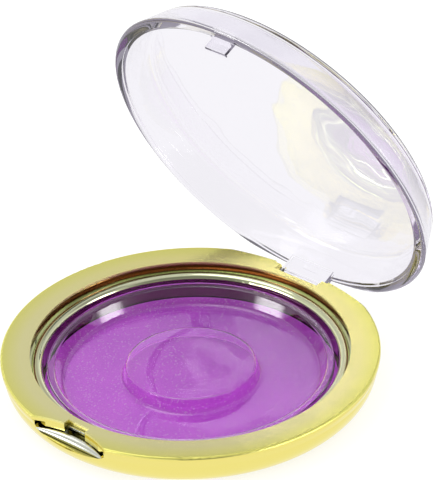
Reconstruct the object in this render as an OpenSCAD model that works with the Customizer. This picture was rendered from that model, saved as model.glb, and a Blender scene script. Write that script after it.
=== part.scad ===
// Round cosmetic case with a clear hinged lid, a glitter card and a clear lash tray.
// Millimetres, +Z up. The foot stands on z = 0, the front catch is at -Y, the hinge at +Y.
// The lid is drawn shut and then swung open about the hinge axis by lid_open.

/* [Case] */
// Outside diameter of the ring and of the lid's rim
case_d = 85; // [76:0.5:100]
// Height of the ring's top face above the table
base_h = 9.2; // [9:0.1:14]
// Flat width of the ring's top face
ring_w = 6.6; // [6.2:0.1:9]
// Moulded wall of the base shell
wall = 1.2; // [1:0.1:1.4]
// Radius of the rounded side of the base
side_r = 6.6; // [5:0.1:6.8]
// Thickness of the ring's top face
flange_t = 1.2; // [1:0.1:1.4]
// Rounding of the ring's top outer edge
edge_r = 0.5; // [0.2:0.1:0.8]

/* [Well] */
// Depth of the plain wall inside the ring
well_wall_h = 2.0; // [1.6:0.1:3]
// Radius of the half-round bead below that wall
bead_r = 1.3; // [1:0.1:1.5]
// Thickness of the glitter card
card_t = 0.3; // [0.2:0.05:0.5]
// Sheet thickness of the formed tray
tray_t = 0.4; // [0.3:0.05:0.5]
// Height of the tray's rim above the table
tray_rim_z = 6.0; // [4.5:0.1:7]
// Width of the tray's flat rim
tray_rim_w = 1.75; // [1:0.05:3]
// Lean of the tray's wall from upright
tray_lean = 22; // [5:1:30]
// Diameter of the raised round island
island_d = 29.3; // [20:0.1:36]
// Height of the island's top above the table
island_z = 5.4; // [4:0.1:6]

/* [Catch] */
// Width of the thumb recess in the ring
recess_w = 21.2; // [18:0.2:24]
// Depth of the recess from the ring's edge
recess_d = 3.75; // [3.6:0.05:4]
// Height of the recess's floor above the table
recess_floor = 4.7; // [4.4:0.1:5]
// Height of the recess's upright back wall
recess_wall_h = 2.3; // [2:0.1:2.5]
// Thickness of the button at its middle
button_t = 1.6; // [1.4:0.1:1.9]
// How far the button presses in
button_travel = 0.6; // [0.3:0.05:0.6]
// Width of the lid's tongue
tongue_w = 5.6; // [4:0.2:7]
// Bite of the tongue's hook under the catch bar
hook_bite = 0.35; // [0.2:0.05:0.45]

/* [Hinge] */
// How far the lid is open as drawn, degrees
lid_open = 68.5; // [0:0.5:114]
// Hinge axis, distance in from the ring's outside
hinge_inset = 2.3; // [2.2:0.1:3]
// Hinge axis, distance below the ring's top face
hinge_drop = 2.8; // [2.6:0.1:3.2]
// Width of the lid's hinge tab
tab_w = 12; // [8:0.5:16]
// Diameter of the moulded hinge pins
pin_d = 1.7; // [1.4:0.1:2]
// Length of each hinge pin
pin_len = 1.5; // [1:0.1:2]
// Radius of the flattened back of the case
back_r = 65; // [55:1:80]

/* [Lid] */
// Height of the lid's shoulder above the ring
lid_h = 9.0; // [8:0.1:12]
// Outer radius of the lid's shoulder
shoulder_r = 2.4; // [2.2:0.1:3.5]
// Radius of the crown across the lid's top
crown_r = 450; // [300:10:900]
// Thickness of the lid's top and side
lid_t = 1.5; // [1.2:0.1:1.6]
// Flat width of the lid's rim
rim_w = 2.8; // [2.4:0.1:3.2]
// Rounding of the rim's outer edge
rim_r = 0.9; // [0.5:0.1:1]

/* [Hidden] */
$fn = 96;
e = 0.01;
fit = 0.1;
seat = 0.05;
snug = 0.15;
case_r = case_d / 2;
open_r = case_r - ring_w;
seam_z = base_h - flange_t;
side_c = case_r - 0.5 - side_r;
taper_z = side_r;
floor_z = wall;
inner_r = side_c + side_r - wall;
big = 3 * case_d;

// Well and tray heights
card_top = floor_z + card_t;
tray_low = card_top + seat;
tray_floor = tray_low + tray_t;
bead_c = [open_r - bead_r - 0.1, base_h - well_wall_h - bead_r];
skirt_t = 0.8;
well_r = bead_c[0] - bead_r;
card_r = well_r - 0.3;
tray_r = well_r - 0.95;
snap_r = 0.22;
snap_z = seam_z - 1.4;

// Hinge
axis_y = case_r - hinge_inset;
axis_z = base_h - hinge_drop;
back_y = axis_y + 0.2;
knuckle_r = 1.35;
heel_r = 1.9;
lid_max = 114;
sill_y = axis_y + heel_r * cos(lid_max) - 0.02;
sill_z = axis_z - knuckle_r - snug;
notch_x = tab_w / 2 + 0.2;
socket_x = tab_w / 2 + pin_len + 0.2;
ear_x = socket_x + 0.9;
ear_r = 1.7;
notch_y = open_r + 1.3;

// Front catch, set out from the recess's back wall
recess_y = recess_d - case_r;
recess_edge_y = -sqrt(pow(case_r, 2) - pow(recess_w / 2, 2));
recess_sag = recess_y - recess_edge_y;
recess_r = (pow(recess_w / 2, 2) + pow(recess_sag, 2)) / (2 * recess_sag);
recess_c = recess_y - recess_r;
back_wall_t = 0.8;
back_wall_z = base_h - recess_wall_h;
frame_wall_t = 0.7;
bar_y1 = -(open_r + frame_wall_t + button_travel + fit);
bar_t = 0.6;
bar_y0 = bar_y1 - bar_t;
bar_z1 = seam_z - fit;
bar_z0 = bar_z1 - 0.55;
hook_y = bar_y0 + hook_bite;
hook_z1 = bar_z0 - fit;
hook_z0 = back_wall_z - seat;
tongue_t = 0.8;
tongue_y1 = bar_y0 - fit;
tongue_y0 = tongue_y1 - tongue_t;
slot_y = hook_y + snug;
slot_x = tongue_w / 2 + 0.2;
window_x = slot_x + 0.1;
post_x = window_x + 1;
lip_z = recess_floor + 0.35;
lip_r = 50;
pocket_x = recess_w / 2;
pocket_corner = 2.6;
button_z0 = recess_floor + seat;
button_z1 = back_wall_z - snug;
button_back = recess_r - snug;
button_x = recess_w / 2 - 0.7;
button_fall = 0.7;
button_arch = (pow(button_x, 2) + pow(button_fall, 2)) / (2 * button_fall);
front_y = -(case_r - recess_d) - snug - button_t;
front_sag = 0.5;
front_r = (pow(button_x, 2) + pow(front_sag, 2)) / (2 * front_sag);
plate_z1 = button_z0 + 0.9;
plate_x = 7.4;
strip_y0 = bar_y1 + fit;
strip_t = 0.6;
stop_x = 5.4;
stop_w = 1.8;
stop_h = 0.75;
shelf_t = 0.8;
shelf_r = recess_r + 0.25;
spring_t = 0.2;
spring_x = 5.6;
spring_y0 = strip_y0 + strip_t + 0.02;
spring_y1 = -well_r - skirt_t - 0.75;
spring_sag = spring_y1 - spring_y0;
spring_r = (pow(spring_x, 2) + pow(spring_sag, 2)) / (2 * spring_sag);
spring_z0 = 3.0;
spring_z1 = button_z0 - 0.15;

// Lid, measured from its rim plane
rim_z = base_h + seat;
rim_in = case_r - rim_w;
shoulder_c = [case_r - 5.1, lid_h - shoulder_r];
crown_z = shoulder_c[1] - sqrt(pow(crown_r - shoulder_r, 2) - pow(shoulder_c[0], 2));
in_shoulder_r = shoulder_r - 0.6;
in_shoulder_c = [shoulder_c[0] - 0.7, shoulder_c[1] - 0.9];
in_crown_r = crown_r - lid_t;
in_crown_z = in_shoulder_c[1] - sqrt(pow(in_crown_r - in_shoulder_r, 2) - pow(in_shoulder_c[0], 2));

gold = "#d9cf78";
silver = "#e9ebea";
clear = "#e4e2f0";
glitter = "#b060c4";
steel = "#b9bec2";

// ---- Small helpers ----

// Where a line from p just cuts into the circle at c, on the far side from the axis
function touch(p, c, r) =
    let (d = c - p, l = norm(d), q = r - 0.004, a = atan2(d[1], d[0]), b = asin(q / l), t = sqrt(l * l - q * q))
    p + t * [cos(a - b), sin(a - b)];

// The point of a circle at c that faces away from q
function beyond(c, q, r) = c + r * (c - q) / norm(c - q);

// Everything in front of the flattened back, drawn in by off
module back_limit(off = 0) {
    translate([0, back_y - back_r, -5])
        cylinder(r = back_r - off, h = 40, $fn = 160);
}

// Upright column in the plan of the thumb recess
module recess_column(r, z0, z1) {
    translate([0, recess_c, z0])
        cylinder(r = r, h = z1 - z0);
}

module box(x0, x1, y0, y1, z0, z1) {
    translate([x0, y0, z0])
        cube([x1 - x0, y1 - y0, z1 - z0]);
}

module both_sides() {
    children();
    mirror([1, 0, 0])
        children();
}

// Side profile drawn as [y, z] and drawn out along x
module along_x(x0, x1) {
    translate([x0, 0, 0])
        rotate([90, 0, 90])
            linear_extrude(height = x1 - x0)
                children();
}

// ---- Base shell ----

// Half section of the bowl's outside, drawn in by t
module bowl_section(t, top) {
    r = side_r - t;
    intersection() {
        union() {
            translate([side_c, taper_z])
                circle(r = r);
            translate([0, taper_z - r])
                square([side_c, top - taper_z + r]);
            polygon([
                [0, taper_z],
                [side_c + r, taper_z],
                [side_c + r + 0.4, top],
                [0, top]
            ]);
        }
        translate([0, taper_z - r])
            square([case_r, top - taper_z + r]);
    }
}

// Front view of the thumb pocket as [x, z]: a bowed lip with rounded corners, drawn in by t
module pocket_view(t) {
    c = pocket_corner - t;
    r = lip_r - t;
    x = pocket_x - t;
    z = lip_z + lip_r;
    corner_z = z - sqrt(pow(r - c, 2) - pow(x - c, 2));
    touch_x = (x - c) * r / (r - c);
    intersection() {
        translate([0, z])
            circle(r = r, $fn = 360);
        translate([-touch_x, recess_floor])
            square([2 * touch_x, base_h]);
    }
    translate([-x, corner_z])
        square([2 * x, base_h]);
    for (s = [-1, 1])
        translate([s * (x - c), corner_z])
            circle(r = c);
}

// The same view carried back through the front of the case
module pocket_through(t) {
    translate([0, -case_r / 2, 0])
        rotate([90, 0, 0])
            linear_extrude(height = case_r)
                pocket_view(t);
}

module thumb_pocket() {
    intersection() {
        recess_column(recess_r, recess_floor - 1, base_h + 1);
        pocket_through(0);
    }
}

module base_shell() {
    top = seam_z - seat;
    locate_r = well_r + skirt_t + fit;
    color(gold)
        difference() {
            union() {
                // Bowl with its flattened back
                difference() {
                    intersection() {
                        rotate_extrude()
                            bowl_section(0, top);
                        back_limit();
                    }
                    intersection() {
                        rotate_extrude()
                            bowl_section(wall, top + 1);
                        back_limit(wall);
                    }
                }
                // Floor of the thumb pocket, with its solid corners
                intersection() {
                    rotate_extrude()
                        bowl_section(wall / 2, top);
                    recess_column(shelf_r, recess_floor - shelf_t, top);
                }
                // Rim on the floor that centres the well skirt
                rotate_extrude()
                    translate([locate_r, floor_z - 0.2])
                        square([0.8, 1.4]);
                // Ribs that take the ends of the bow spring
                both_sides()
                    box(spring_x - 0.9, spring_x + 0.9, spring_y1 + 0.02, spring_y1 + 1, floor_z - 0.2, spring_z1);
                // Bracket under the hinge knuckle
                box(-ear_x, ear_x, sill_y - 1.3, sill_y + 0.5, floor_z - 0.2, sill_z);
            }
            // Space above the pocket's floor, behind the lip
            intersection() {
                recess_column(recess_r, recess_floor, base_h);
                cylinder(r = inner_r - 0.2, h = base_h);
            }
            thumb_pocket();
            // Way in for the button and its plate
            intersection() {
                recess_column(shelf_r + 1, recess_floor, base_h);
                box(-button_x - fit, button_x + fit, -case_r, 0, recess_floor, base_h);
                union() {
                    cylinder(r = inner_r - 0.2, h = base_h);
                    pocket_through(0);
                }
            }
            // Groove for the frame's snap ring
            rotate_extrude()
                translate([inner_r + 0.05, snap_z])
                    circle(r = snap_r + 0.06, $fn = 24);
            // Hinge notch, and the face that stops the lid's heel
            box(-ear_x - fit, ear_x + fit, notch_y, case_r + 1, sill_z, base_h + 1);
            box(-notch_x - fit, notch_x + fit, sill_y, case_r + 1, 1.6, base_h + 1);
        }
}

// ---- Top frame ----

module frame_section() {
    web_z = bead_c[1] + 0.7;
    // Top face with its rounded outer edge
    translate([open_r, seam_z])
        square([case_r - edge_r - open_r, flange_t]);
    translate([open_r, seam_z])
        square([case_r - open_r, flange_t - edge_r]);
    translate([case_r - edge_r, base_h - edge_r])
        circle(r = edge_r);
    // Plain wall and the web below it
    translate([open_r, bead_c[1]])
        square([frame_wall_t, base_h - bead_c[1] - 0.2]);
    translate([bead_c[0], bead_c[1]])
        square([open_r + 0.3 - bead_c[0], web_z - bead_c[1]]);
    // Half-round bead, hollow underneath
    difference() {
        translate(bead_c)
            circle(r = bead_r, $fn = 48);
        translate(bead_c)
            circle(r = bead_r - skirt_t, $fn = 48);
        translate([bead_c[0] - bead_r + skirt_t, bead_c[1] - bead_r - 1])
            square([2 * bead_r, bead_r + 1]);
        translate([bead_c[0] - bead_r - 1, bead_c[1] - bead_r - 1])
            square([2 * bead_r + 2, bead_r + 1]);
    }
    // Skirt of the well, down to the floor
    translate([well_r, floor_z + seat])
        square([skirt_t, bead_c[1] - floor_z - seat + e]);
}

module frame_skirt() {
    difference() {
        intersection() {
            translate([0, 0, seam_z - 2.4])
                cylinder(r = inner_r - fit, h = 2.4 + e);
            back_limit(wall + fit);
        }
        intersection() {
            translate([0, 0, seam_z - 3])
                cylinder(r = inner_r - fit - 0.8, h = 4);
            back_limit(wall + fit + 0.8);
        }
    }
    intersection() {
        rotate_extrude()
            translate([inner_r - fit, snap_z])
                circle(r = snap_r, $fn = 24);
        back_limit(wall + fit);
    }
}

module frame_ear() {
    difference() {
        union() {
            along_x(notch_x, ear_x)
                union() {
                    intersection() {
                        translate([axis_y, axis_z])
                            circle(r = ear_r, $fn = 48);
                        translate([axis_y - 3, sill_z + seat])
                            square([6, 6]);
                    }
                    translate([notch_y, sill_z + seat])
                        square([axis_y - notch_y, seam_z - sill_z - seat + e]);
                }
        }
        // Snap-in socket, open upward through a narrower throat
        along_x(notch_x - 1, socket_x)
            union() {
                translate([axis_y, axis_z])
                    circle(r = pin_d / 2 + 0.08, $fn = 48);
                translate([axis_y - pin_d / 2 + 0.1, axis_z])
                    square([pin_d - 0.2, 5]);
            }
    }
}

module top_frame() {
    color(gold)
        difference() {
            union() {
                difference() {
                    union() {
                        intersection() {
                            rotate_extrude()
                                frame_section();
                            back_limit();
                        }
                        frame_skirt();
                    }
                    recess_column(recess_r + e, 0, base_h + 1);
                    // Hinge notch in the top face and the skirt
                    box(-notch_x, notch_x, notch_y, case_r + 1, 0, base_h + 1);
                }
                // Upright back wall of the thumb recess
                difference() {
                    intersection() {
                        recess_column(recess_r + back_wall_t, back_wall_z, seam_z + 0.2);
                        cylinder(r = inner_r - fit, h = base_h);
                    }
                    recess_column(recess_r, 0, base_h + 1);
                }
                both_sides()
                    frame_ear();
            }
            // Slot that lets the lid's tongue down behind the wall
            box(-slot_x, slot_x, recess_y - 1, slot_y, back_wall_z - 1, base_h + 1);
            // Passage for the button's plate under the ring
            box(-plate_x, plate_x, -inner_r, bar_y1 + button_travel + 0.06, bead_c[1] - 1, back_wall_z);
            box(-button_x - fit, button_x + fit, -case_r, 4 - case_r, bead_c[1] - 1, back_wall_z);
            // Mouths of the two hinge sockets in the top face
            both_sides()
                box(notch_x - 1, socket_x, axis_y - pin_d / 2 + 0.1, case_r + 1, axis_z, base_h + 1);
        }
}

// ---- Card and tray ----

module liner_card() {
    color(glitter)
        translate([0, 0, floor_z])
            cylinder(r = card_r, h = card_t);
}

// Filled half section below the tray's surface, drawn in by t
module tray_fill(t) {
    a = tray_lean;
    bottom = tray_floor - t;
    low_r = 1.2 + t;
    top_r = 0.6 - t;
    wall_r = tray_r - tray_rim_w - (tray_rim_z - tray_floor) * tan(a);
    island_r = island_d / 2 + (island_z - tray_floor) * tan(a) / 2;
    island_a = atan((island_r - island_d / 2) / (island_z - tray_floor));
    dx = t / cos(a);
    dt = t * tan(a);
    di = t / cos(island_a);
    dti = t * tan(island_a);
    // Floor, wall and rim
    wr = wall_r + dx - dt;
    fc = [wr + low_r * tan(a) - low_r / cos(a), bottom + low_r];
    rc = [wr + (tray_rim_z - t - top_r - bottom) * tan(a) + top_r / cos(a), tray_rim_z - t - top_r];
    difference() {
        union() {
            square([tray_r - t, bottom]);
            polygon([
                [fc[0], bottom - e],
                [fc[0], bottom],
                [wr, bottom],
                [wr + (rc[1] - bottom + top_r * sin(a)) * tan(a), rc[1] + top_r * sin(a)],
                rc,
                [rc[0], tray_rim_z - t],
                [tray_r - t, tray_rim_z - t],
                [tray_r - t, bottom - e]
            ]);
            translate(rc)
                circle(r = top_r, $fn = 32);
            polygon([
                [fc[0], bottom - e],
                [fc[0], bottom],
                fc + low_r * [cos(a), -sin(a)],
                fc + low_r * [cos(a), -sin(a)] + [0.6, 0],
                [wr + 0.8, bottom - e]
            ]);
        }
        translate(fc)
            circle(r = low_r, $fn = 48);
    }
    // Island with a soft upper edge and a fillet at its foot
    ir = island_r - di + dti;
    ic = [ir - (island_z - t - top_r - bottom) * tan(island_a) - top_r / cos(island_a), island_z - t - top_r];
    gc = [ir - low_r * tan(island_a) + low_r / cos(island_a), bottom + low_r];
    difference() {
        union() {
            polygon([
                [0, bottom - e],
                [gc[0], bottom - e],
                [gc[0], bottom],
                gc + low_r * [-cos(island_a), -sin(island_a)],
                ic + top_r * [cos(island_a), sin(island_a)],
                ic,
                [ic[0], island_z - t],
                [0, island_z - t]
            ]);
            translate(ic)
                circle(r = top_r, $fn = 32);
        }
        translate(gc)
            circle(r = low_r, $fn = 48);
    }
}

module lash_tray() {
    color(clear)
        rotate_extrude()
            difference() {
                translate([0, tray_low])
                    square([tray_r, base_h]);
                difference() {
                    translate([-1, tray_low - 1])
                        square([tray_r + 2, base_h + 2]);
                    tray_fill(0);
                }
                difference() {
                    tray_fill(tray_t);
                    translate([tray_r - tray_t, 0])
                        square([2, tray_rim_z - 1.1]);
                }
                // The rolled edge ends just below the rim
                translate([tray_r - tray_t - 1, 0])
                    square([3, tray_rim_z - 1.1]);
            }
}

// ---- Release button and its spring ----

module button_plan_front() {
    translate([0, front_y - front_r, 0])
        cylinder(r = front_r, h = base_h, $fn = 160);
}

module release_button() {
    round_r = button_z1 - button_z0 - 0.15;
    color(silver)
        difference() {
            union() {
                // Crescent that fills the recess, with a quarter-round face
                intersection() {
                    difference() {
                        translate([0, recess_c, 0])
                            rotate_extrude()
                                intersection() {
                                    union() {
                                        translate([button_back, button_z1 - round_r])
                                            circle(r = round_r, $fn = 48);
                                        translate([button_back - round_r, button_z0])
                                            square([round_r, 0.15]);
                                    }
                                    translate([button_back - 3, button_z0])
                                        square([3, base_h]);
                                }
                        button_plan_front();
                    }
                    box(-button_x, button_x, -case_r, 0, 0, base_h);
                    // Ends follow the pocket's corners, and the top falls away to them
                    pocket_through(snug);
                    translate([0, 0, button_z1 - button_arch])
                        rotate([90, 0, 0])
                            cylinder(r = button_arch, h = case_r, $fn = 360);
                }
                // Plate that slides on the pocket's floor
                intersection() {
                    box(-plate_x, plate_x, -case_r, strip_y0 + strip_t, button_z0, plate_z1);
                    difference() {
                        cylinder(r = inner_r - 0.35, h = base_h);
                        recess_column(button_back - 0.5, -1, base_h);
                    }
                }
                // Catch bar on its two posts
                box(-post_x, post_x, bar_y0, bar_y1, button_z0, bar_z1);
                // Spring foot
                box(-1.8, 1.8, strip_y0, strip_y0 + strip_t, spring_z0, plate_z1);
                // Stops that rest against the pocket's floor
                both_sides()
                    difference() {
                        box(stop_x, stop_x + stop_w, -case_r + 2.9, -case_r + 5, button_z0 - stop_h, plate_z1);
                        recess_column(shelf_r + seat, -1, base_h);
                    }
            }
            // Room for the hook below the bar
            box(-window_x, window_x, bar_y0 - e, bar_y1 + e, plate_z1, bar_z0);
        }
}

module button_spring() {
    color(steel)
        intersection() {
            translate([0, spring_y0 + spring_r, spring_z0])
                difference() {
                    cylinder(r = spring_r, h = spring_z1 - spring_z0);
                    translate([0, 0, -1])
                        cylinder(r = spring_r - spring_t, h = spring_z1 - spring_z0 + 2);
                }
            box(-spring_x, spring_x, spring_y0 - 1, spring_y1, 0, base_h);
        }
}

// ---- Lid ----

module lid_outside() {
    start = [case_r, rim_r];
    side = touch(start, shoulder_c, shoulder_r);
    top = beyond(shoulder_c, [0, crown_z], shoulder_r);
    translate([case_r - rim_r, rim_r])
        circle(r = rim_r, $fn = 48);
    translate(shoulder_c)
        circle(r = shoulder_r, $fn = 64);
    polygon([
        [0, 0],
        [case_r - rim_r, 0],
        [case_r - rim_r, rim_r],
        start,
        side,
        shoulder_c,
        top,
        [0, shoulder_c[1]]
    ]);
    intersection() {
        translate([0, crown_z])
            circle(r = crown_r, $fn = 720);
        translate([0, shoulder_c[1] - 1])
            square([top[0], 20]);
    }
}

module lid_inside() {
    start = [rim_in, -1];
    side = touch(start, in_shoulder_c, in_shoulder_r);
    top = beyond(in_shoulder_c, [0, in_crown_z], in_shoulder_r);
    translate(in_shoulder_c)
        circle(r = in_shoulder_r, $fn = 64);
    polygon([
        [-1, -1],
        start,
        side,
        in_shoulder_c,
        top,
        [-1, in_shoulder_c[1]]
    ]);
    intersection() {
        translate([0, in_crown_z])
            circle(r = in_crown_r, $fn = 720);
        translate([0, in_shoulder_c[1] - 1])
            square([top[0], 20]);
    }
    // Small step inside the rim
    translate([-1, -1])
        square([rim_in + 0.5, 1.4]);
}

// Knuckle, neck and stop heel of the hinge tab, as [y, z]
module tab_side() {
    translate([axis_y, axis_z])
        circle(r = knuckle_r, $fn = 48);
    translate([axis_y - 1.6, axis_z])
        square([1.75, rim_z + 1.6 - axis_z]);
    translate([axis_y, axis_z])
        square([heel_r, 0.9]);
}

// Tongue with its hook turned inward, as [y, z]
module tongue_side() {
    polygon([
        [tongue_y0, hook_z0],
        [tongue_y1, hook_z0],
        [hook_y, hook_z0 + 0.2],
        [hook_y, hook_z1],
        [tongue_y1, hook_z1],
        [tongue_y1, rim_z + 1.2],
        [tongue_y1 - 1.9, rim_z + 2.4],
        [tongue_y0 - 1.5, rim_z + 2.4],
        [tongue_y0 - 1.5, rim_z + 0.1],
        [tongue_y0, rim_z + 0.1]
    ]);
}

module lid_shut() {
    translate([0, 0, rim_z])
        intersection() {
            rotate_extrude()
                difference() {
                    intersection() {
                        lid_outside();
                        square([case_d, 40]);
                    }
                    lid_inside();
                }
            back_limit();
        }
    along_x(-tab_w / 2, tab_w / 2)
        tab_side();
    along_x(-tongue_w / 2, tongue_w / 2)
        tongue_side();
    both_sides()
        translate([tab_w / 2 - e, axis_y, axis_z])
            rotate([0, 90, 0])
                cylinder(r = pin_d / 2, h = pin_len + e, $fn = 48);
}

module lid() {
    color(clear, 0.45)
        translate([0, axis_y, axis_z])
            rotate([-lid_open, 0, 0])
                translate([0, -axis_y, -axis_z])
                    lid_shut();
}

base_shell();
top_frame();
liner_card();
lash_tray();
release_button();
button_spring();
lid();
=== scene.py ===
import math

import bmesh
import bpy
from mathutils import Matrix, Vector


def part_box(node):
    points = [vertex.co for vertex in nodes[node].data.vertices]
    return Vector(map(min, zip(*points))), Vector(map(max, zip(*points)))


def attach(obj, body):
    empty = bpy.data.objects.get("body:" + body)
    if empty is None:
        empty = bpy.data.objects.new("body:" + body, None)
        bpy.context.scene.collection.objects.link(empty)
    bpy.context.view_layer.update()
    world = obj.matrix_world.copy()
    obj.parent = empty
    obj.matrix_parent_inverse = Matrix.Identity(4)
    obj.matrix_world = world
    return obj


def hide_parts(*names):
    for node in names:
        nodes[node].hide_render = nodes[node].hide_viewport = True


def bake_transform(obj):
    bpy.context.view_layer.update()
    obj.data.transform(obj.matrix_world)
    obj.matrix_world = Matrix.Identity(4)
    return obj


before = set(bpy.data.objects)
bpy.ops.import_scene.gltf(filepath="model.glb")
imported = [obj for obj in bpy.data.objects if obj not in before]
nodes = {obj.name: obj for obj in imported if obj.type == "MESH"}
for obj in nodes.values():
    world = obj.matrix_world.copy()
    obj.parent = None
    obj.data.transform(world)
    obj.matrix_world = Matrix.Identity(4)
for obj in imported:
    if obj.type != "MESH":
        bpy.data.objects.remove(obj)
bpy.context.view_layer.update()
mm = 0.001
print("frame loaded:", len(nodes), "nodes")


def linear(hexColour):  # sRGB hex to linear rgba
    h = hexColour.lstrip("#")
    out = []
    for i in (0, 2, 4):
        c = int(h[i:i + 2], 16) / 255
        out.append(c / 12.92 if c <= 0.04045 else ((c + 0.055) / 1.055) ** 2.4)
    return (*out, 1.0)


def add(tree, kind, settings=None, links=None):  # one node with its settings and its incoming links
    made = tree.nodes.new(kind)
    for key, value in (settings or {}).items():
        if isinstance(key, int) or key in made.inputs:
            made.inputs[key].default_value = value
        else:
            setattr(made, key, value)
    for key, value in (links or {}).items():
        tree.links.new(value, made.inputs[key])
    return made


def newMaterial(name):
    m = bpy.data.materials.new(name)
    m.use_nodes = True
    m.node_tree.nodes.clear()
    return m, m.node_tree


def wear(obj, material):
    obj.data.materials.clear()
    obj.data.materials.append(material)


def deselectAll():
    if bpy.context.object and bpy.context.object.mode == "EDIT":
        bpy.ops.object.mode_set(mode="OBJECT")
    bpy.ops.object.select_all(action="DESELECT")


# the camera stands high at the front right, with a long lens
camera = {
    "place": (470.741, -532.096, 482.467),  # mm
    "right": (0.766587, 0.641501, -0.028652),
    "up": (-0.322215, 0.422872, 0.846969),
    "lens": 286.55,  # mm
    "sensor": 36,    # mm
    "clip": (0.05, 20),  # m
}


def addCamera():
    data = bpy.data.cameras.new("camera")
    data.lens = camera["lens"]
    data.sensor_width = camera["sensor"]
    data.clip_start, data.clip_end = camera["clip"]
    made = bpy.data.objects.new("camera", data)
    bpy.context.scene.collection.objects.link(made)
    right, up = Vector(camera["right"]), Vector(camera["up"])
    turn = Matrix((right, up, right.cross(up))).transposed().to_4x4()
    made.matrix_world = Matrix.Translation(Vector(camera["place"]) * mm) @ turn
    bpy.context.scene.camera = made


addCamera()
print("camera placed")


def only(obj):  # the one selected and active object
    deselectAll()
    obj.select_set(True)
    bpy.context.view_layer.objects.active = obj


def turnedRings(name, rings, segments):  # a circle drawn out ring by ring through (radius, height) in mm
    deselectAll()
    radius, height = rings[0]
    bpy.ops.mesh.primitive_circle_add(vertices=segments, radius=radius * mm, location=(0, 0, height * mm))
    piece = bpy.context.object
    piece.name = name
    bpy.ops.object.transform_apply(location=True, rotation=True, scale=True)
    bpy.ops.object.mode_set(mode="EDIT")
    bpy.ops.mesh.select_mode(type="VERT")
    bpy.ops.mesh.select_all(action="SELECT")
    for nextRadius, nextHeight in rings[1:]:
        bpy.ops.mesh.extrude_edges_move(TRANSFORM_OT_translate={"value": (0, 0, (nextHeight - height) * mm)})
        grow = nextRadius / radius
        bpy.ops.transform.resize(value=(grow, grow, 1), center_override=(0, 0, nextHeight * mm))
        radius, height = nextRadius, nextHeight
    bpy.ops.object.mode_set(mode="OBJECT")
    return piece


def selectRings(piece, places, close=0.004):  # the edges that run round at these (radius, height) in mm
    bpy.ops.object.mode_set(mode="EDIT")
    bpy.ops.mesh.select_mode(type="EDGE")
    bpy.ops.mesh.select_all(action="DESELECT")
    mesh = bmesh.from_edit_mesh(piece.data)

    def at(v, place):
        return abs(math.hypot(v.co.x, v.co.y) / mm - place[0]) < close and abs(v.co.z / mm - place[1]) < close
    for edge in mesh.edges:
        edge.select_set(any(at(edge.verts[0], p) and at(edge.verts[1], p) for p in places))
    bmesh.update_edit_mesh(piece.data)


def softenRings(piece, places, offset, steps):  # rounds the corners at these (radius, height)
    selectRings(piece, places)
    bpy.ops.mesh.bevel(offset=offset * mm, offset_type="OFFSET", segments=steps,
                       profile=0.5, clamp_overlap=False)
    bpy.ops.object.mode_set(mode="OBJECT")


def closePole(piece, height, reach=0.6, close=0.2):  # gathers the smallest ring into one point on the axis
    bpy.ops.object.mode_set(mode="EDIT")
    bpy.ops.mesh.select_mode(type="VERT")
    bpy.ops.mesh.select_all(action="DESELECT")
    mesh = bmesh.from_edit_mesh(piece.data)
    for v in mesh.verts:
        v.select_set(math.hypot(v.co.x, v.co.y) < reach * mm and abs(v.co.z / mm - height) < close)
    bmesh.update_edit_mesh(piece.data)
    bpy.ops.mesh.merge(type="CENTER")
    bpy.ops.object.mode_set(mode="OBJECT")


def outward(piece):  # merges doubled points and turns every face outwards
    bpy.ops.object.mode_set(mode="EDIT")
    bpy.ops.mesh.select_all(action="SELECT")
    bpy.ops.mesh.remove_doubles(threshold=0.002 * mm)
    bpy.ops.mesh.normals_make_consistent(inside=False)
    bpy.ops.object.mode_set(mode="OBJECT")


def sideBar(name, outline, halfWidth):  # a flat outline of (y, z) in mm, drawn out across x
    deselectAll()
    bpy.ops.mesh.primitive_circle_add(vertices=len(outline), radius=mm, fill_type="NGON")
    piece = bpy.context.object
    piece.name = name
    for v, (y, z) in zip(piece.data.vertices, outline):
        v.co = (-halfWidth * mm, y * mm, z * mm)
    bpy.ops.object.mode_set(mode="EDIT")
    bpy.ops.mesh.select_all(action="SELECT")
    bpy.ops.mesh.extrude_region_move(TRANSFORM_OT_translate={"value": (2 * halfWidth * mm, 0, 0)})
    bpy.ops.mesh.select_all(action="SELECT")
    bpy.ops.mesh.normals_make_consistent(inside=False)
    bpy.ops.object.mode_set(mode="OBJECT")
    return piece


def planSlab(name, outline, low, high):  # a flat outline of (x, y) in mm, drawn up from one height to another
    deselectAll()
    bpy.ops.mesh.primitive_circle_add(vertices=len(outline), radius=mm, fill_type="NGON")
    piece = bpy.context.object
    piece.name = name
    for v, (x, y) in zip(piece.data.vertices, outline):
        v.co = (x * mm, y * mm, low * mm)
    bpy.ops.object.mode_set(mode="EDIT")
    bpy.ops.mesh.select_all(action="SELECT")
    bpy.ops.mesh.extrude_region_move(TRANSFORM_OT_translate={"value": (0, 0, (high - low) * mm)})
    bpy.ops.mesh.select_all(action="SELECT")
    bpy.ops.mesh.normals_make_consistent(inside=False)
    bpy.ops.object.mode_set(mode="OBJECT")
    return piece


def block(name, x, y, z):  # a plain box between two values of x, of y and of z
    return planSlab(name, [(x[0], y[0]), (x[1], y[0]), (x[1], y[1]), (x[0], y[1])], *z)


def combine(piece, tool, how):  # boolean, and the tool is used up
    only(piece)
    cut = piece.modifiers.new("cut", "BOOLEAN")
    cut.operation, cut.solver, cut.object = how, "EXACT", tool
    bpy.ops.object.modifier_apply(modifier="cut")
    bpy.data.objects.remove(tool, do_unlink=True)


def arc(centre, radius, start, end, steps):  # points of an arc as (y, z), degrees
    out = []
    for i in range(steps + 1):
        a = math.radians(start + (end - start) * i / steps)
        out.append((centre[0] + radius * math.cos(a), centre[1] + radius * math.sin(a)))
    return out


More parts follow.
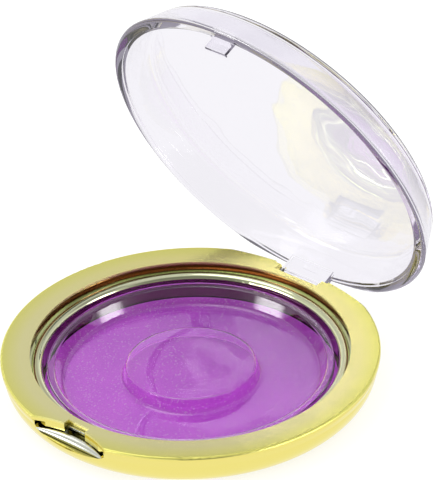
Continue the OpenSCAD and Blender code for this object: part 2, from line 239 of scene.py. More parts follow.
def report(stage, piece, node):  # how far the corners of the piece's box lie from its solid's, in mm
    low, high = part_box(node)
    spans = [[v.co[i] for v in piece.data.vertices] for i in range(3)]
    print(stage, "made; off its solid's corners by mm:",
          [round((min(spans[i]) - low[i]) / mm, 3) for i in range(3)],
          [round((max(spans[i]) - high[i]) / mm, 3) for i in range(3)])


# the lid's half section, from its rim plane up; it is made shut and then opened
lidShape = {
    "rimPlane": 9.25,        # mm above the table when shut
    "rim": 42.5,             # outer radius
    "rimRound": 0.9,
    "step": (40.2, 0.4),     # the small step inside the rim
    "stepRound": 0.12,
    "insideFoot": 39.454,
    "shoulder": (39.03, 8.87),
    "shoulderRound": 1.434,  # from the corner to where the round begins
    "insideShoulder": (38.23, 7.38),
    "insideRound": 1.39,
    "crown": (450.0, -439.435),      # radius and height of its centre
    "insideCrown": (448.5, -439.49),
    "crownRings": (0.4, 3, 7, 12, 18, 24, 30, 35),  # radii
    "backRadius": 65.0,
    "back": 40.4,            # how far back the flattened side lies
    "hinge": (40.2, 6.4),    # y, z
    "open": 68.5,            # degrees
    "segments": 256,
    "backSegments": 720,
    "smooth": 28,            # degrees, sharper edges stay crisp
}


def onCrown(ball, radii):
    return [(r, ball[1] + math.sqrt(ball[0] ** 2 - r ** 2)) for r in radii]


def lidDome():
    s = lidShape
    outside = onCrown(s["crown"], s["crownRings"])
    outside += [s["shoulder"], (s["rim"], s["rimRound"]), (s["rim"], 0)]
    step = [(s["step"][0], 0), s["step"], (s["insideFoot"], s["step"][1])]
    inside = step + [s["insideShoulder"]] + onCrown(s["insideCrown"], s["crownRings"][::-1])
    dome = turnedRings("lidCover", outside + inside, s["segments"])
    closePole(dome, outside[0][1])
    closePole(dome, inside[-1][1])
    softenRings(dome, [s["shoulder"]], s["shoulderRound"], steps=9)
    softenRings(dome, [s["insideShoulder"]], s["insideRound"], steps=8)
    softenRings(dome, [(s["rim"], 0)], s["rimRound"] * 0.97, steps=7)  # a sliver short, so that no faces fold
    softenRings(dome, step, s["stepRound"], steps=3)
    bpy.ops.object.mode_set(mode="EDIT")
    bpy.ops.mesh.select_all(action="SELECT")
    bpy.ops.transform.translate(value=(0, 0, s["rimPlane"] * mm))
    bpy.ops.object.mode_set(mode="OBJECT")
    outward(dome)
    return dome


def flattenBack(dome):  # the side at the hinge follows a much larger circle
    s = lidShape
    tall, middle = 60, 20  # mm, well over the lid's own height
    deselectAll()
    bpy.ops.mesh.primitive_cylinder_add(vertices=s["backSegments"], radius=s["backRadius"] * mm, depth=tall * mm,
                                        location=(0, (s["back"] - s["backRadius"]) * mm, middle * mm))
    limit = bpy.context.object
    bpy.ops.object.transform_apply(location=True, rotation=True, scale=True)
    combine(dome, limit, "INTERSECT")


# hinge tab and pins, moulded with the lid; mm, measured from the pin's axis with the lid shut
tab = {
    "halfWidth": 6.0,
    "knuckle": 1.35,         # radius round the pins
    "heel": (1.9, 0.9),      # how far the stop heel stands back, and its height
    "neck": (-1.6, 0.15),    # y from and to
    "neckTop": 1.6,          # above the rim plane
    "pin": (0.85, 1.5),      # radius, length
    "sunk": 0.01,            # how deep a pin starts inside the tab
}

# latch tongue, moulded with the lid; mm, with the lid shut
tongue = {
    "halfWidth": 2.8,
    "back": -38.0,
    "front": -38.8,
    "hook": -37.55,          # how far the hook reaches in
    "low": 6.85,
    "lead": 0.2,             # slope under the hook
    "hookTop": 7.25,
    "root": (1.9, 1.5),      # y that its top slopes over, y that its root stands out in front
    "rootHeight": (0.1, 1.2, 2.4),  # above the rim plane: foot in front, foot at the back, top
}


def hingeTab():  # knuckle, neck and stop heel in one outline
    y, z = lidShape["hinge"]
    heel, heelHeight = tab["heel"]
    neckFront, neckBack = tab["neck"]
    top = lidShape["rimPlane"] + tab["neckTop"]
    outline = arc((y, z), tab["knuckle"], 180, 360, 18)
    outline += [(y + heel, z), (y + heel, z + heelHeight), (y + neckBack, z + heelHeight), (y + neckBack, top),
                (y + neckFront, top), (y + neckFront, z)]
    return sideBar("tab", outline, tab["halfWidth"])


def latchTongue():
    back, front, hook, low, hookTop = (tongue[key] for key in ("back", "front", "hook", "low", "hookTop"))
    slope, out = tongue["root"]
    rimFront, rimBack, top = (lidShape["rimPlane"] + height for height in tongue["rootHeight"])
    outline = [(front, low), (back, low), (hook, low + tongue["lead"]), (hook, hookTop), (back, hookTop),
               (back, rimBack), (back - slope, top), (front - out, top), (front - out, rimFront), (front, rimFront)]
    return sideBar("tongue", outline, tongue["halfWidth"])


def hingePin(side):
    radius, length = tab["pin"]
    y, z = lidShape["hinge"]
    middle = side * (tab["halfWidth"] + length / 2 - tab["sunk"])
    deselectAll()
    bpy.ops.mesh.primitive_cylinder_add(vertices=48, radius=radius * mm, depth=length * mm,
                                        location=(middle * mm, y * mm, z * mm), rotation=(0, math.pi / 2, 0))
    pin = bpy.context.object
    bpy.ops.object.transform_apply(location=True, rotation=True, scale=True)
    return pin


def makeLid():
    dome = lidDome()
    flattenBack(dome)
    for extra in (hingeTab(), latchTongue(), hingePin(-1), hingePin(1)):
        combine(dome, extra, "UNION")
    outward(dome)
    only(dome)
    bpy.ops.object.mode_set(mode="EDIT")
    bpy.ops.mesh.select_all(action="SELECT")
    y, z = lidShape["hinge"]
    bpy.ops.transform.rotate(value=math.radians(lidShape["open"]), orient_axis="X",
                             center_override=(0, y * mm, z * mm))
    bpy.ops.object.mode_set(mode="OBJECT")
    bpy.ops.object.shade_smooth_by_angle(angle=math.radians(lidShape["smooth"]))
    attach(dome, "lid")
    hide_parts("lid")
    return dome


lidCover = makeLid()
report("lid", lidCover, "lid")


# the tray is one sheet, drawn down over its mould: every bend is round
trayShape = {
    "sheet": 0.4,            # mm
    "edge": (32.25, 4.9),    # foot of the turned-down edge
    "rim": (32.25, 6.0),
    "wallTop": (30.5, 6.0),
    "wallFoot": (28.864, 1.95),
    "islandFoot": (15.347, 1.95),
    "islandTop": (14.65, 5.4),
    "islandRings": (9.0, 4.0, 0.4),  # radii across the island's flat top
    "softBend": 0.5,
    "footBend": 0.9,
    "rimBend": 0.35,
    "segments": 256,
    "smooth": 40,            # degrees
}


def makeTray():
    s = trayShape
    top = s["islandTop"][1]
    rings = [s["edge"], s["rim"], s["wallTop"], s["wallFoot"], s["islandFoot"], s["islandTop"]]
    rings += [(r, top) for r in s["islandRings"]]
    tray = turnedRings("formedTray", rings, s["segments"])
    closePole(tray, top)
    softenRings(tray, [s["wallFoot"], s["islandFoot"]], s["footBend"], steps=6)
    softenRings(tray, [s["wallTop"], s["islandTop"]], s["softBend"], steps=5)
    softenRings(tray, [s["rim"]], s["rimBend"], steps=4)
    outward(tray)
    only(tray)
    sheet = tray.modifiers.new("sheet", "SOLIDIFY")
    sheet.thickness, sheet.offset, sheet.use_even_offset = s["sheet"] * mm, -1, True
    bpy.ops.object.modifier_apply(modifier="sheet")
    bpy.ops.object.shade_smooth_by_angle(angle=math.radians(s["smooth"]))
    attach(tray, "base")
    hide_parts("lash_tray")
    return tray


formedTray = makeTray()
report("tray", formedTray, "lash_tray")


# bow spring behind the button: its middle leans on the button's foot, its ends on the base
bowSpring = {
    "middle": -36.58,    # y of its outer face at the middle, mm
    "ends": -34.93,      # y of its ends
    "halfWidth": 5.6,
    "strip": 0.2,
    "height": (3.0, 4.6),
    "steps": 40,
    "smooth": 30,        # degrees
}


def makeSpring():
    s = bowSpring
    sag = s["ends"] - s["middle"]
    radius = (s["halfWidth"] ** 2 + sag ** 2) / (2 * sag)
    reach = math.degrees(math.asin(s["halfWidth"] / radius))
    outer = arc((0, s["middle"] + radius), radius, 270 - reach, 270 + reach, s["steps"])
    inner = arc((0, s["middle"] + radius), radius - s["strip"], 270 + reach, 270 - reach, s["steps"])
    piece = planSlab("bowSpring", outer + inner, *s["height"])
    bpy.ops.object.shade_smooth_by_angle(angle=math.radians(s["smooth"]))
    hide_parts("button_spring")
    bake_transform(piece)
    return piece


springPiece = makeSpring()
print("spring made")


# push button: a crescent with a rounded face, and behind it the slide, the catch bar on two posts,
# the spring's foot and two stops; mm
pushButton = {
    "backCentre": -63.295,   # y of the centre of the recess's back wall
    "backRadius": 24.395,
    "halfWidth": 9.5,
    "front": (-40.45, -41.2),  # y at the middle and at the ends
    "top": 6.75,
    "fall": 0.28,            # how much lower the top is at the ends
    "lip": (55.05, 49.85),   # height of the lip's centre, and its radius less the clearance
    "corner": (8.0, 8.33, 2.45),  # x, z and radius of the pocket's corner, less the clearance
    "edge": 0.15,            # upright part at the foot of the face, and the round at the back
    "edgeShare": 0.4,        # the most of the height or depth that it takes where the ends run thin
    "columns": 97,
    "roundSteps": 22,
    "plateSteps": 40,
    "plate": (7.4, -36.6, 23.895),  # half width, back, radius of its front
    "plateHeight": (4.75, 5.65),
    "bar": (4.1, -37.9, -37.3, 7.9),   # half width, y from and to, top
    "window": (3.1, 7.35),   # half width, top; the opening between the posts
    "foot": (1.8, -37.2, -36.6, 3.0),  # half width, y from and to, low end
    "stop": (5.4, 7.2, -39.05, -37.5, 4.0),  # x from and to, y from and to, low end
    "smooth": 30,            # degrees
}


def crescentSection(x):  # (y, z) points round the crescent at one x
    s = pushButton
    back = s["backCentre"] + math.sqrt(s["backRadius"] ** 2 - x ** 2)
    along = (x / s["halfWidth"]) ** 2
    front = s["front"][0] + (s["front"][1] - s["front"][0]) * along
    top = s["top"] - s["fall"] * along
    cornerX, cornerZ, cornerRadius = s["corner"]
    if abs(x) > cornerX:
        foot = cornerZ - math.sqrt(cornerRadius ** 2 - (abs(x) - cornerX) ** 2)
    else:
        foot = s["lip"][0] - math.sqrt(s["lip"][1] ** 2 - x ** 2)
    edge = min(s["edge"], s["edgeShare"] * (top - foot), s["edgeShare"] * (back - front))
    points = [(back, foot)]
    for a in (0, math.pi / 6, math.pi / 3):
        points.append((back - edge * (1 - math.cos(a)), top - edge * (1 - math.sin(a))))
    for i in range(s["roundSteps"] + 1):
        a = math.pi / 2 * (1 - i / s["roundSteps"])
        points.append((back - edge + (front - back + edge) * math.cos(a),
                       foot + edge + (top - foot - edge) * math.sin(a)))
    return points + [(front, foot), (back, foot)]


def makeCrescent():
    s = pushButton
    deselectAll()
    rows = len(crescentSection(0))
    bpy.ops.mesh.primitive_grid_add(x_subdivisions=s["columns"] - 1, y_subdivisions=rows - 1, size=mm)
    piece = bpy.context.object
    piece.name = "pushCrescent"
    for column in range(s["columns"]):
        swing = math.pi / 2 * (2 * column / (s["columns"] - 1) - 1)
        x = s["halfWidth"] * math.sin(swing)  # closer together towards the ends
        for row, (y, z) in enumerate(crescentSection(x)):
            piece.data.vertices[row * s["columns"] + column].co = (x * mm, y * mm, z * mm)
    bpy.ops.object.mode_set(mode="EDIT")
    bpy.ops.mesh.select_all(action="SELECT")
    bpy.ops.mesh.remove_doubles(threshold=0.001 * mm)
    bpy.ops.mesh.fill_holes(sides=0)
    bpy.ops.mesh.select_all(action="SELECT")
    bpy.ops.mesh.normals_make_consistent(inside=False)
    bpy.ops.object.mode_set(mode="OBJECT")
    return piece


def makeButton():
    s = pushButton
    crescent = makeCrescent()
    half, back, radius = s["plate"]
    low, high = s["plateHeight"]
    reach = math.degrees(math.asin(half / radius))
    outline = arc((0, s["backCentre"]), radius, 90 + reach, 90 - reach, s["plateSteps"])
    outline += [(half, back), (-half, back)]
    combine(crescent, planSlab("plate", outline, low, high), "UNION")
    half, barFront, barBack, barTop = s["bar"]
    bar = block("bar", (-half, half), (barFront, barBack), (low, barTop))
    half, windowTop = s["window"]
    past = 0.1  # the cutter stands out of both sides of the bar
    window = block("window", (-half, half), (barFront - past, barBack + past), (high, windowTop))
    combine(bar, window, "DIFFERENCE")
    combine(crescent, bar, "UNION")
    half, footFront, footBack, footLow = s["foot"]
    combine(crescent, block("foot", (-half, half), (footFront, footBack), (footLow, high)), "UNION")
    near, far, stopFront, stopBack, stopLow = s["stop"]
    for x in ((near, far), (-far, -near)):
        combine(crescent, block("stop", x, (stopFront, stopBack), (stopLow, high)), "UNION")
    outward(crescent)
    only(crescent)
    bpy.ops.object.shade_smooth_by_angle(angle=math.radians(s["smooth"]))
    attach(crescent, "button")
    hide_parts("release_button")
    return crescent


buttonPiece = makeButton()
report("button", buttonPiece, "release_button")


# gold electroplate over moulded ABS: a thin metal skin that mirrors its surroundings, satin where the ring is flat,
# bright on the curved side, and pale and greenish on the bead; painted reflection, sheen, highlight and shade are in
# its colours
gold = {
    "flat": "#F0EAB0",      # the ring's flat top
    "backReflection": "#F5EC9A",  # the same face towards the hinge, yellower: a painted reflection
    "rim": "#EEEA78",       # the same face near its outer edge, yellower: a painted sheen
    "side": "#F4E684",      # upright wall inside the opening, dark brown: a painted reflection of the shaded card
    "wall": "#7C4526",      # upright wall inside the opening
    "bead": "#DDE2BA",      # half-round bead below it, pale and greenish: a painted highlight
    "skirt": "#735A62",     # upright skirt behind the tray, darkened: painted shade
    "satin": 0.26,
    "edgeSatin": 0.50,      # on the rounded edge of the flat top
    "sideSatin": 0.11,
    "bright": 0.03,
    "ringTop": 9.2,         # mm, height of the flat face
    "topFade": (0.75, 0.15),   # mm below it, where the flat face's colour starts and is full
    "edgeFade": (0.05, 0.01),  # the same for its satin
    "openRadius": 35.95,    # mm
    "openFade": 0.1,
    "beadTop": 7.3,         # mm
    "beadFade": 0.15,
    "beadFoot": 6.4,        # mm, below this it faces down
    "footFade": 0.25,
    "backReflectionFrom": (-20, 40),  # mm, y where the painted reflection towards the hinge starts and is full
    "rimSheenFrom": (38.0, 42.2),   # mm, radius where the painted sheen near the rim starts and ends
    "rimSheenShare": 0.85,
    "drift": 35.7,          # mm, slow change of tone over the flat face
    "driftShare": 0.35,
    "grain": 0.35,          # mm, size of the fine orange peel
    "sink": 8.33,           # mm, between moulding sinks
    "sinkShare": 6.0,       # how much deeper they are than the peel
    "relief": 0.00002,      # m
}


def goldPlate():
    m, t = newMaterial("goldElectroplate")
    place = add(t, "ShaderNodeTexCoord").outputs["Object"]
    axes = add(t, "ShaderNodeSeparateXYZ", links={0: place})
    flatPlace = add(t, "ShaderNodeCombineXYZ", links={"X": axes.outputs["X"], "Y": axes.outputs["Y"]})
    radius = add(t, "ShaderNodeVectorMath", {"operation": "LENGTH"}, {0: flatPlace.outputs[0]}).outputs["Value"]
    height = axes.outputs["Z"]

    # the flat face: paler in front, with painted reflection yellower towards the hinge and painted sheen yellower
    # near its rim
    start, end = gold["backReflectionFrom"]
    back = add(t, "ShaderNodeMapRange", {"From Min": start * mm, "From Max": end * mm}, {"Value": axes.outputs["Y"]})
    drift = add(t, "ShaderNodeTexNoise", {"Scale": 1 / (gold["drift"] * mm), "Detail": 2.0}, {"Vector": place})
    blend = add(t, "ShaderNodeMath", {"operation": "MULTIPLY_ADD", 1: gold["driftShare"]},
                {0: drift.outputs["Fac"], 2: back.outputs[0]})
    flat = add(t, "ShaderNodeMix", {"data_type": "RGBA", 6: linear(gold["flat"]), 7: linear(gold["backReflection"])},
               {0: blend.outputs[0]})
    # near the outer edge the face turns yellower: painted sheen
    start, end = gold["rimSheenFrom"]
    rimSheen = add(t, "ShaderNodeMapRange",
                  {"From Min": start * mm, "From Max": end * mm, "To Max": gold["rimSheenShare"]}, {"Value": radius})
    face = add(t, "ShaderNodeMix", {"data_type": "RGBA", 7: linear(gold["rim"])},
               {0: rimSheen.outputs[0], 6: flat.outputs[2]})

    # inside the opening, from the top down: wall, bead, skirt, in painted reflection, painted highlight and painted
    # shade
    ringTop, opening, beadTop, beadFoot = gold["ringTop"], gold["openRadius"], gold["beadTop"], gold["beadFoot"]
    # below the bead's top, the colour turns to the bead's painted highlight
    lower = add(t, "ShaderNodeMapRange",
                {"From Min": beadTop * mm, "From Max": (beadTop - gold["beadFade"]) * mm}, {"Value": height})
    # below the bead's foot, the colour turns to the skirt's painted shade
    deep = add(t, "ShaderNodeMapRange",
               {"From Min": beadFoot * mm, "From Max": (beadFoot - gold["footFade"]) * mm}, {"Value": height})
    ledge = add(t, "ShaderNodeMix", {"data_type": "RGBA", 6: linear(gold["bead"]), 7: linear(gold["skirt"])},
                {0: deep.outputs[0]})
    # above the bead, the wall's dark brown is a painted reflection
    well = add(t, "ShaderNodeMix", {"data_type": "RGBA", 6: linear(gold["wall"])},
               {0: lower.outputs[0], 7: ledge.outputs[2]})

    # side, opening and flat face put together
    inside = add(t, "ShaderNodeMapRange",
                 {"From Min": (opening + gold["openFade"]) * mm, "From Max": opening * mm}, {"Value": radius})
    shade = add(t, "ShaderNodeMix", {"data_type": "RGBA", 6: linear(gold["side"])},
                {0: inside.outputs[0], 7: well.outputs[2]})
    start, end = gold["topFade"]
    top = add(t, "ShaderNodeMapRange",
              {"From Min": (ringTop - start) * mm, "From Max": (ringTop - end) * mm}, {"Value": height})
    colour = add(t, "ShaderNodeMix", {"data_type": "RGBA"},
                 {0: top.outputs[0], 6: shade.outputs[2], 7: face.outputs[2]})
    polish = add(t, "ShaderNodeMapRange", {"To Min": gold["sideSatin"], "To Max": gold["bright"]},
                 {"Value": inside.outputs[0]})
    start, end = gold["edgeFade"]
    satin = add(t, "ShaderNodeMapRange",
                {"From Min": (ringTop - start) * mm, "From Max": (ringTop - end) * mm,
                 "To Min": gold["edgeSatin"], "To Max": gold["satin"]}, {"Value": height})
    rough = add(t, "ShaderNodeMix", {"data_type": "FLOAT"},
                {0: top.outputs[0], 2: polish.outputs[0], 3: satin.outputs[0]})

    peel = add(t, "ShaderNodeTexNoise", {"Scale": 1 / (gold["grain"] * mm), "Detail": 1.0}, {"Vector": place})
    sinks = add(t, "ShaderNodeTexNoise", {"Scale": 1 / (gold["sink"] * mm), "Detail": 1.0}, {"Vector": place})
    relief = add(t, "ShaderNodeMath", {"operation": "MULTIPLY_ADD", 1: gold["sinkShare"]},
                 {0: sinks.outputs["Fac"], 2: peel.outputs["Fac"]})
    bump = add(t, "ShaderNodeBump", {"Strength": 0.25, "Distance": gold["relief"]}, {"Height": relief.outputs[0]})
    shader = add(t, "ShaderNodeBsdfPrincipled", {"Metallic": 1.0},
                 {"Base Color": colour.outputs[2], "Roughness": rough.outputs[0], "Normal": bump.outputs[0]})
    add(t, "ShaderNodeOutputMaterial", links={"Surface": shader.outputs[0]})
    return m


# silver electroplate: the brightest metal on the case, greyer low on its face, a painted reflection of the lip below
# it
silver = {
    "colour": "#E8EAE2",
    # low on the face: a painted reflection of the lip below it
    "low": "#A2A78E",
    "lipReflectionFade": (5.2, 6.9),  # mm, between these heights it turns from one to the other
    "roughness": 0.22,
    "grain": 0.5,        # mm
    "relief": 0.00003,   # m
}


def silverPlate():
    m, t = newMaterial("silverElectroplate")
    place = add(t, "ShaderNodeTexCoord").outputs["Object"]
    peel = add(t, "ShaderNodeTexNoise", {"Scale": 1 / (silver["grain"] * mm), "Detail": 2.0}, {"Vector": place})
    height = add(t, "ShaderNodeSeparateXYZ", links={0: place}).outputs["Z"]
    # the face's lower part is painted greyer: painted reflection of the lip
    start, end = silver["lipReflectionFade"]
    rise = add(t, "ShaderNodeMapRange", {"From Min": start * mm, "From Max": end * mm}, {"Value": height})
    tint = add(t, "ShaderNodeMix", {"data_type": "RGBA", 6: linear(silver["low"]), 7: linear(silver["colour"])},
               {0: rise.outputs[0]})
    bump = add(t, "ShaderNodeBump", {"Strength": 0.2, "Distance": silver["relief"]}, {"Height": peel.outputs["Fac"]})
    shader = add(t, "ShaderNodeBsdfPrincipled", {"Metallic": 1.0, "Roughness": silver["roughness"]},
                 {"Base Color": tint.outputs[2], "Normal": bump.outputs[0]})
    add(t, "ShaderNodeOutputMaterial", links={"Surface": shader.outputs[0]})
    return m


# cold-rolled spring steel strip: grey, with fine rolling lines along it
strip = {
    "colour": "#B9BEC2",
    "roughness": (0.25, 0.45),
    "lines": 0.333,      # mm apart
    "length": 20,        # how many times longer than wide they are
}


def springSteel():
    m, t = newMaterial("springSteelStrip")
    place = add(t, "ShaderNodeTexCoord").outputs["Object"]
    along = 1 / strip["length"]
    stretched = add(t, "ShaderNodeMapping", {"Scale": (along, along, 1.0)}, {"Vector": place})
    lines = add(t, "ShaderNodeTexNoise", {"Scale": 1 / (strip["lines"] * mm)}, {"Vector": stretched.outputs[0]})
    smoothest, roughest = strip["roughness"]
    rough = add(t, "ShaderNodeMapRange", {"To Min": smoothest, "To Max": roughest}, {"Value": lines.outputs["Fac"]})
    shader = add(t, "ShaderNodeBsdfPrincipled", {"Metallic": 1.0, "Base Color": linear(strip["colour"])},
                 {"Roughness": rough.outputs[0]})
    add(t, "ShaderNodeOutputMaterial", links={"Surface": shader.outputs[0]})
    return m


# glitter card: a purple print with small bright flakes under a clear varnish; the flakes are real, their brightness a
# painted glint
card = {
    "ground": "#E866F8",
    "deep": "#D650EC",
    "flakeGlint": "#F0B4FA",
    "flakeSize": 0.26,   # mm; drawn as coarse as it needs to show
    "flakeCells": (0.93, 0.97),   # only the cells of the highest value shine
    "cloud": 9.0,        # mm, slow change of tone
    "cloudSpan": (0.35, 0.65),
    "cloudDepth": 0.4,
    "cellDepth": 0.6,    # how much the tone changes from cell to cell
    "roughness": 0.42,
}


def glitterCard():
    m, t = newMaterial("glitterCard")
    place = add(t, "ShaderNodeTexCoord").outputs["Object"]
    cells = add(t, "ShaderNodeTexVoronoi", {"Scale": 1 / (card["flakeSize"] * mm)}, {"Vector": place})
    pick = add(t, "ShaderNodeSeparateColor", links={0: cells.outputs["Color"]})
    cloud = add(t, "ShaderNodeTexNoise", {"Scale": 1 / (card["cloud"] * mm), "Detail": 3.0}, {"Vector": place})
    start, end = card["cloudSpan"]
    soft = add(t, "ShaderNodeMapRange", {"From Min": start, "From Max": end, "To Max": card["cloudDepth"]},
               {"Value": cloud.outputs["Fac"]})
    tone = add(t, "ShaderNodeMath", {"operation": "MULTIPLY_ADD", 1: card["cellDepth"]},
               {0: pick.outputs[1], 2: soft.outputs[0]})
    ground = add(t, "ShaderNodeMix", {"data_type": "RGBA", 6: linear(card["ground"]), 7: linear(card["deep"])},
                 {0: tone.outputs[0]})
    # the flakes are painted bright: a painted glint
    start, end = card["flakeCells"]
    bright = add(t, "ShaderNodeMapRange", {"From Min": start, "From Max": end}, {"Value": pick.outputs[0]})
    colour = add(t, "ShaderNodeMix", {"data_type": "RGBA", 7: linear(card["flakeGlint"])},
                 {0: bright.outputs[0], 6: ground.outputs[2]})
    shader = add(t, "ShaderNodeBsdfPrincipled", {"Roughness": card["roughness"], "IOR": 1.5},
                 {"Base Color": colour.outputs[2]})
    add(t, "ShaderNodeOutputMaterial", links={"Surface": shader.outputs[0]})
    return m


def clearOutput(t, shader, veil, turns):  # light that has turned more often inside the plastic comes out tinted
    path = add(t, "ShaderNodeLightPath")
    turned = add(t, "ShaderNodeMath", {"operation": "GREATER_THAN", 1: turns + 0.5}, {0: path.outputs["Ray Depth"]})
    passing = add(t, "ShaderNodeBsdfTransparent", {"Color": linear(veil)})
    both = add(t, "ShaderNodeMixShader", links={0: turned.outputs[0], 1: shader.outputs[0], 2: passing.outputs[0]})
    add(t, "ShaderNodeOutputMaterial", links={"Surface": both.outputs[0]})


# clear PET sheet, thermoformed: glossy, with a slow ripple left by the forming
sheetLook = {
    "tint": "#FBF6FD",
    "veil": "#F4EEF6",   # colour of the light that comes out late
    "turns": 4,
    "roughness": 0.02,
    "ripple": 10.0,      # mm
    "relief": 0.0002,    # m
}


def clearSheet():
    m, t = newMaterial("clearPetSheet")
    place = add(t, "ShaderNodeTexCoord").outputs["Object"]
    ripple = add(t, "ShaderNodeTexNoise", {"Scale": 1 / (sheetLook["ripple"] * mm), "Detail": 1.0}, {"Vector": place})
    bump = add(t, "ShaderNodeBump", {"Strength": 0.2, "Distance": sheetLook["relief"]},
               {"Height": ripple.outputs["Fac"]})
    shader = add(t, "ShaderNodeBsdfPrincipled",
                 {"Transmission Weight": 1.0, "Roughness": sheetLook["roughness"], "IOR": 1.5,
                  "Base Color": linear(sheetLook["tint"])}, {"Normal": bump.outputs[0]})
    clearOutput(t, shader, sheetLook["veil"], sheetLook["turns"])
    return m


# polished clear acrylic moulding: a faint lavender cast through its thickness and slow swells where it cooled
lidLook = {
    "tint": "#F8F6FC",
    "veil": "#8A8494",   # colour of the light that comes out late
    "turns": 4,
    "swell": 18.0,       # mm
    "relief": 0.0016,    # m
}


def clearAcrylic():
    m, t = newMaterial("clearAcrylic")
    place = add(t, "ShaderNodeTexCoord").outputs["Object"]
    swell = add(t, "ShaderNodeTexNoise", {"Scale": 1 / (lidLook["swell"] * mm), "Detail": 1.0}, {"Vector": place})
    bump = add(t, "ShaderNodeBump", {"Strength": 0.2, "Distance": lidLook["relief"]},
               {"Height": swell.outputs["Fac"]})
    shader = add(t, "ShaderNodeBsdfPrincipled",
                 {"Transmission Weight": 1.0, "Roughness": 0.0, "IOR": 1.45, "Base Color": linear(lidLook["tint"])},
                 {"Normal": bump.outputs[0]})
    clearOutput(t, shader, lidLook["veil"], lidLook["turns"])
    return m


plate = goldPlate()
wear(nodes["base_shell"], plate)
wear(nodes["top_frame"], plate)
silverSkin = silverPlate()
wear(nodes["release_button"], silverSkin)
wear(buttonPiece, silverSkin)
steel = springSteel()
wear(nodes["button_spring"], steel)
wear(springPiece, steel)
wear(nodes["liner_card"], glitterCard())
sheetPlastic, lidPlastic = clearSheet(), clearAcrylic()
for piece in (nodes["lash_tray"], formedTray):
    wear(piece, sheetPlastic)
for piece in (nodes["lid"], lidCover):
    wear(piece, lidPlastic)
print("materials made")


# pale floor, and a pale room that mirrors paler near the horizon than higher up
studio = {
    "room": 1.12,        # what lights matt surfaces
    "low": 0.98,         # mirrored near the horizon
    "middle": 0.70,      # mirrored a third of the way up
    "overhead": 0.85,
    "middleFrom": (0.22, 0.50),    # sine of the height, where the change starts and ends
    "overheadFrom": (0.75, 0.95),
    "floor": "#E6E6E6",
    "floorShade": "#A0A0A0",  # the part of the floor's white that takes shadow
    "floorGlow": 0.72,
    "floorSize": 8,      # m
    "floorDrop": 0.02,   # mm below the foot
}


def addFloor():
    deselectAll()
    bpy.ops.mesh.primitive_plane_add(size=studio["floorSize"], location=(0, 0, -studio["floorDrop"] * mm))
    floor = bpy.context.object
    floor.name = "floor"
    m, t = newMaterial("paleFloor")
    path = add(t, "ShaderNodeLightPath")
    mirrored = add(t, "ShaderNodeMath", {"operation": "MAXIMUM"},
                   {0: path.outputs["Is Glossy Ray"], 1: path.outputs["Is Transmission Ray"]})
    shade = add(t, "ShaderNodeBsdfDiffuse", {"Color": linear(studio["floor"])})
    faint = add(t, "ShaderNodeBsdfDiffuse", {"Color": linear(studio["floorShade"])})
    glow = add(t, "ShaderNodeEmission", {"Color": (1, 1, 1, 1), "Strength": studio["floorGlow"]})
    lightened = add(t, "ShaderNodeAddShader", links={0: faint.outputs[0], 1: glow.outputs[0]})
    white = add(t, "ShaderNodeEmission", {"Color": (1, 1, 1, 1), "Strength": studio["low"]})
    seen = add(t, "ShaderNodeMixShader",
               links={0: path.outputs["Is Camera Ray"], 1: shade.outputs[0], 2: lightened.outputs[0]})
    mix = add(t, "ShaderNodeMixShader", links={0: mirrored.outputs[0], 1: seen.outputs[0], 2: white.outputs[0]})
    add(t, "ShaderNodeOutputMaterial", links={"Surface": mix.outputs[0]})
    wear(floor, m)


# soft patches that shiny surfaces mirror: direction, inner and outer angle in degrees,
# and either how many times darker or how much brighter; the two boxes stand low at the front left and at the right
patches = {
    "behindLens": {"way": (0.62, -0.74, 0.25), "inner": 30, "outer": 64, "times": 0.32},
    "backRight": {"way": (0.62, 0.43, 0.66), "inner": 8, "outer": 26, "times": 0.50},
    "aboveHinge": {"way": (-0.25, 0.59, 0.77), "inner": 5, "outer": 18, "times": 0.25},
    "frontLeftBox": {"way": (-0.44, -0.89, 0.09), "inner": 8, "outer": 17, "plus": 7.5},
    "rightBox": {"way": (0.95, 0.29, 0.09), "inner": 5, "outer": 15, "plus": 7.5},
}
topLamp = {"azimuth": -150, "height": 70, "away": 1.0, "size": 0.7, "watts": 1.8}  # degrees, degrees, m, m, W


def addTopLamp():
    data = bpy.data.lights.new("topSoftbox", "AREA")
    data.shape = "DISK"
    data.size, data.energy = topLamp["size"], topLamp["watts"]
    lamp = bpy.data.objects.new("topSoftbox", data)
    bpy.context.scene.collection.objects.link(lamp)
    a, h = math.radians(topLamp["azimuth"]), math.radians(topLamp["height"])
    side = Vector((math.cos(a) * math.cos(h), math.sin(a) * math.cos(h), math.sin(h)))
    lamp.location = side * topLamp["away"]
    lamp.rotation_euler = side.to_track_quat("Z", "Y").to_euler()


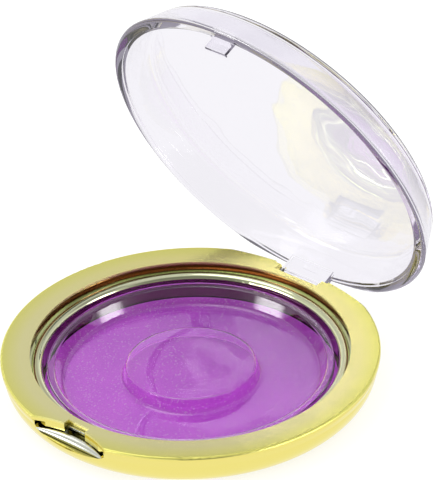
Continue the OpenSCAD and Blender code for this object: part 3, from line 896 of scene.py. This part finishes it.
def addRoom():
    world = bpy.data.worlds.new("studio")
    bpy.context.scene.world = world
    world.use_nodes = True
    t = world.node_tree
    t.nodes.clear()
    path = add(t, "ShaderNodeLightPath")
    way = add(t, "ShaderNodeTexCoord").outputs["Generated"]
    height = add(t, "ShaderNodeSeparateXYZ", links={0: way}).outputs["Z"]
    start, end = studio["middleFrom"]
    rise = add(t, "ShaderNodeMapRange",
               {"interpolation_type": "SMOOTHSTEP", "From Min": start, "From Max": end,
                "To Min": studio["low"], "To Max": studio["middle"]}, {"Value": height})
    start, end = studio["overheadFrom"]
    over = add(t, "ShaderNodeMapRange",
               {"interpolation_type": "SMOOTHSTEP", "From Min": start, "From Max": end,
                "To Min": 0.0, "To Max": studio["overhead"] - studio["middle"]}, {"Value": height})
    level = add(t, "ShaderNodeMath", {"operation": "ADD"}, {0: rise.outputs[0], 1: over.outputs[0]})
    mirror = level
    for patch in patches.values():
        centre = Vector(patch["way"]).normalized()
        facing = add(t, "ShaderNodeVectorMath", {"operation": "DOT_PRODUCT", 1: centre}, {0: way})
        dark = "times" in patch
        part = add(t, "ShaderNodeMapRange", {
            "interpolation_type": "SMOOTHSTEP", "From Min": math.cos(math.radians(patch["outer"])),
            "From Max": math.cos(math.radians(patch["inner"])), "To Min": 1.0 if dark else 0.0,
            "To Max": patch["times"] if dark else patch["plus"]}, {"Value": facing.outputs["Value"]})
        mirror = add(t, "ShaderNodeMath", {"operation": "MULTIPLY" if dark else "ADD"},
                     {0: mirror.outputs[0], 1: part.outputs[0]})
    lit = add(t, "ShaderNodeBackground", {"Color": (1, 1, 1, 1), "Strength": studio["room"]})
    mirrored = add(t, "ShaderNodeBackground", {"Color": (1, 1, 1, 1)}, {"Strength": mirror.outputs[0]})
    white = add(t, "ShaderNodeBackground", {"Color": (1, 1, 1, 1), "Strength": 1.0})
    onTheWay = add(t, "ShaderNodeMath", {"operation": "MAXIMUM"},
                   {0: path.outputs["Is Diffuse Ray"], 1: path.outputs["Diffuse Depth"]})
    matt = add(t, "ShaderNodeMath", {"operation": "GREATER_THAN", 1: 0.5}, {0: onTheWay.outputs[0]})
    first = add(t, "ShaderNodeMixShader", links={0: matt.outputs[0], 1: mirrored.outputs[0], 2: lit.outputs[0]})
    last = add(t, "ShaderNodeMixShader",
               links={0: path.outputs["Is Camera Ray"], 1: first.outputs[0], 2: white.outputs[0]})
    add(t, "ShaderNodeOutputWorld", links={"Surface": last.outputs[0]})


addFloor()
addTopLamp()
addRoom()
bpy.context.scene.view_settings.view_transform = "Standard"
print("studio built")
